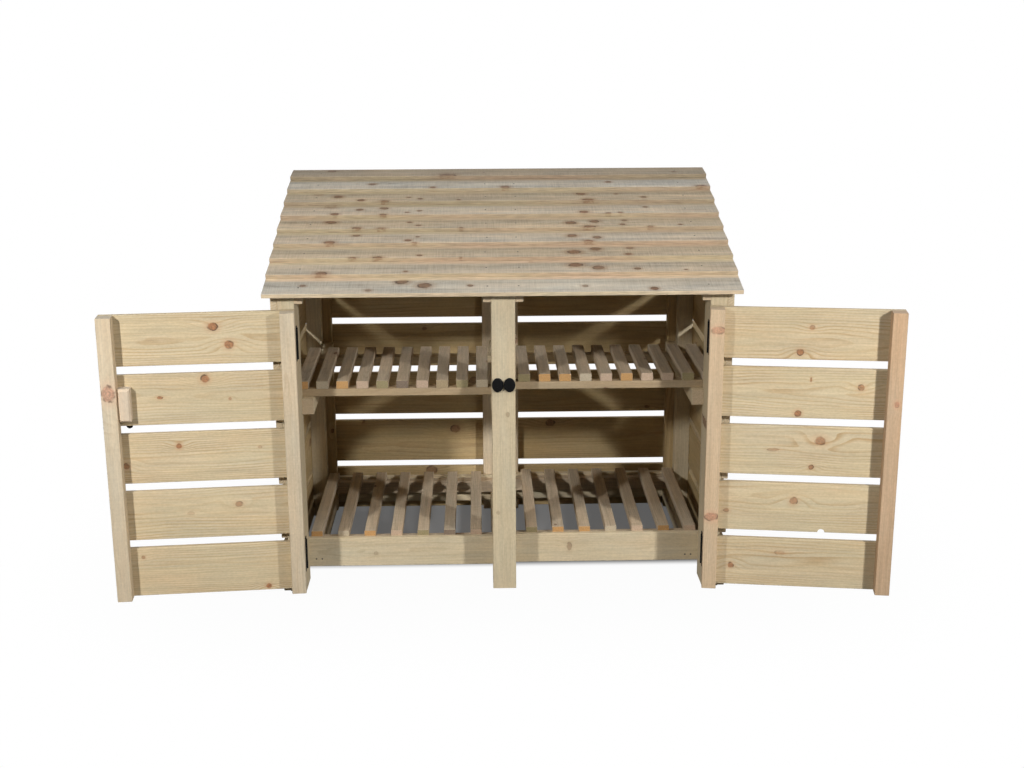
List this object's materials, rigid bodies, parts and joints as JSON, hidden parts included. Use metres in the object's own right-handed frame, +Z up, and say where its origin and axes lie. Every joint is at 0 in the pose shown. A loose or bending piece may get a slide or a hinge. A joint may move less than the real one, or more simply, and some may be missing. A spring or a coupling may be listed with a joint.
{
  "type": "log store",
  "caption": "Lean-to timber log store with two open bays, slatted floors and half-depth shelves, a lapped feather-edge roof and two slatted doors on butt hinges.",
  "frame": {"origin": "on the ground, under the middle of the front centre post's foot", "axes": "+X to the right along the open front, +Y to the back, +Z up"},
  "size_m": [2.4346, 0.9847, 1.2565],
  "materials": {
    "timber": "rough-sawn, pressure treated",
    "slat_timber": "rough-sawn, pressure treated",
    "roof_timber": "rough-sawn feather-edge",
    "black_iron": "black japanned"
  },
  "bodies": {
    "frame": {"left_front_post": "timber", "right_front_post": "timber", "centre_post": "timber", "left_back_post": "timber", "right_back_post": "timber", "left_side_boards": "timber", "right_side_boards": "timber", "left_back_stile": "timber", "right_back_stile": "timber", "centre_back_stiles": "timber", "left_back_boards": "timber", "right_back_boards": "timber", "floor_front_rails": "timber", "floor_back_rails": "timber", "roof_board_1": "roof_timber", "roof_board_2": "roof_timber", "roof_board_3": "roof_timber", "roof_board_4": "roof_timber", "roof_board_5": "roof_timber", "roof_board_6": "roof_timber", "roof_board_7": "roof_timber", "roof_board_8": "roof_timber", "roof_board_9": "roof_timber", "floor_front_bearers": "slat_timber", "floor_back_bearers": "slat_timber", "left_floor_joist": "slat_timber", "right_floor_joist": "slat_timber", "centre_floor_joists": "slat_timber", "left_floor_slats": "slat_timber", "right_floor_slats": "slat_timber", "shelf_front_rails": "slat_timber", "shelf_back_rails": "slat_timber", "left_shelf_slats": "slat_timber", "right_shelf_slats": "slat_timber", "left_shelf_ledger": "slat_timber", "right_shelf_ledger": "slat_timber", "centre_shelf_ledgers": "slat_timber", "left_rafter": "slat_timber", "right_rafter": "slat_timber", "centre_rafters": "slat_timber", "left_post_hinges": "black_iron", "right_post_hinges": "black_iron", "button_screws": "black_iron"},
    "left_door": {"left_door_boards": "timber", "left_door_hinge_stile": "timber", "left_door_free_stile": "timber", "left_door_block": "timber", "left_door_handle": "black_iron", "left_door_hinges": "black_iron"},
    "right_door": {"right_door_boards": "timber", "right_door_hinge_stile": "timber", "right_door_free_stile": "timber", "right_door_hinges": "black_iron"},
    "left_turn_button": {"left_turn_button": "black_iron"},
    "right_turn_button": {"right_turn_button": "black_iron"}
  },
  "joints": [
    {"name": "left_door_hinge", "type": "hinge", "parent": "frame", "child": "left_door", "pos_m": [-0.634, -0.054, 0.48], "axis": [0, 0, -1], "range_deg": [-175, 5]},
    {"name": "right_door_hinge", "type": "hinge", "parent": "frame", "child": "right_door", "pos_m": [0.634, -0.054, 0.48], "axis": [0, 0, 1], "range_deg": [-172, 8]},
    {"name": "left_button_pivot", "type": "hinge", "parent": "frame", "child": "left_turn_button", "pos_m": [-0.0185, -0.058, 0.673], "axis": [0, -1, 0], "range_deg": [0, 90]},
    {"name": "right_button_pivot", "type": "hinge", "parent": "frame", "child": "right_turn_button", "pos_m": [0.0185, -0.058, 0.673], "axis": [0, 1, 0], "range_deg": [0, 90]}
  ]
}
